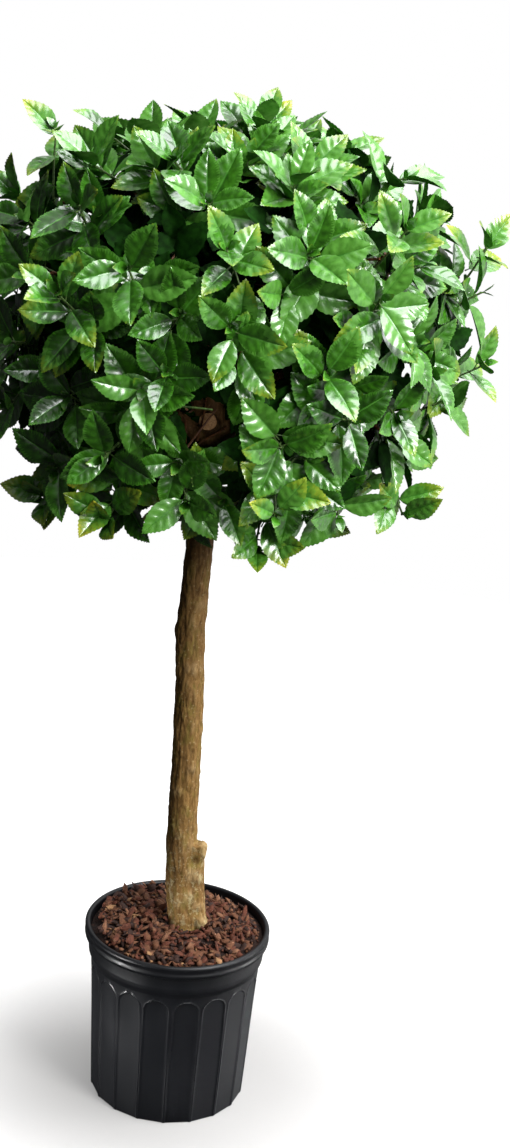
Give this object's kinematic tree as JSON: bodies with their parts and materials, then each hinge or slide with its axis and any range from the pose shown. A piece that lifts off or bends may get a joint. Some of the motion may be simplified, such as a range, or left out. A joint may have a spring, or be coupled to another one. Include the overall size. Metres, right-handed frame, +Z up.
{
  "type": "potted broadleaf topiary",
  "caption": "Standard topiary: a dense ball of broad toothed evergreen leaves on a bare trunk, in a fluted black nursery pot filled with bark mulch.",
  "frame": {"origin": "centre of the pot's flat underside", "axes": "+Z up along the pot's axis; the plant's front, with the pruned stub, faces -Y; +X is its right as seen from the front"},
  "size_m": [0.6738, 0.617, 1.3943],
  "materials": {
    "pot": "satin moulded plastic",
    "mulch": "loose chipped bark",
    "bark": "thin bark with fine fissures",
    "leaf": "glossy leathery leaf"
  },
  "bodies": {
    "root": {"pot": "pot", "mulch_fill": "mulch", "trunk": "bark", "bough_front_right": "bark", "bough_right": "bark", "bough_back_right": "bark", "bough_back_left": "bark", "bough_left": "bark", "bough_front_left": "bark", "bough_top": "bark", "foliage_front_right": "leaf", "foliage_right": "leaf", "foliage_back_right": "leaf", "foliage_back_left": "leaf", "foliage_left": "leaf", "foliage_front_left": "leaf", "foliage_top": "leaf"}
  },
  "joints": []
}
